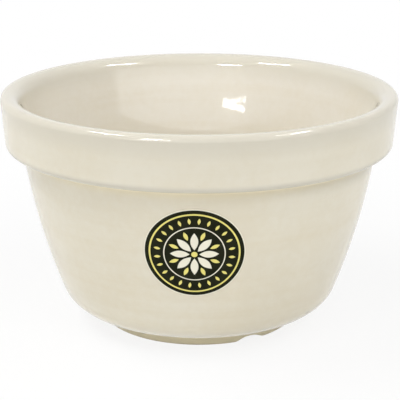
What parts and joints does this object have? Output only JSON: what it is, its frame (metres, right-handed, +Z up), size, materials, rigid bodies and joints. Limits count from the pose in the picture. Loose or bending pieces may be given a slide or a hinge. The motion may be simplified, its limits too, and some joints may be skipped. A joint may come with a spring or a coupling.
{
  "type": "pudding basin",
  "caption": "Round glazed earthenware pudding basin with a thick collar round the rim, a tapered bowl, a low notched foot ring and a round sticker on its wall.",
  "frame": {"origin": "on the ground, on the axis of the basin, at the middle of the foot ring", "axes": "+Z up along the basin's axis, -Y towards the front, where the sticker is, and +X to the right of the front"},
  "size_m": [0.16, 0.16, 0.095],
  "materials": {
    "glaze": "gloss",
    "sticker": "satin"
  },
  "bodies": {
    "root": {"basin": "glaze", "label": "sticker"}
  },
  "joints": []
}
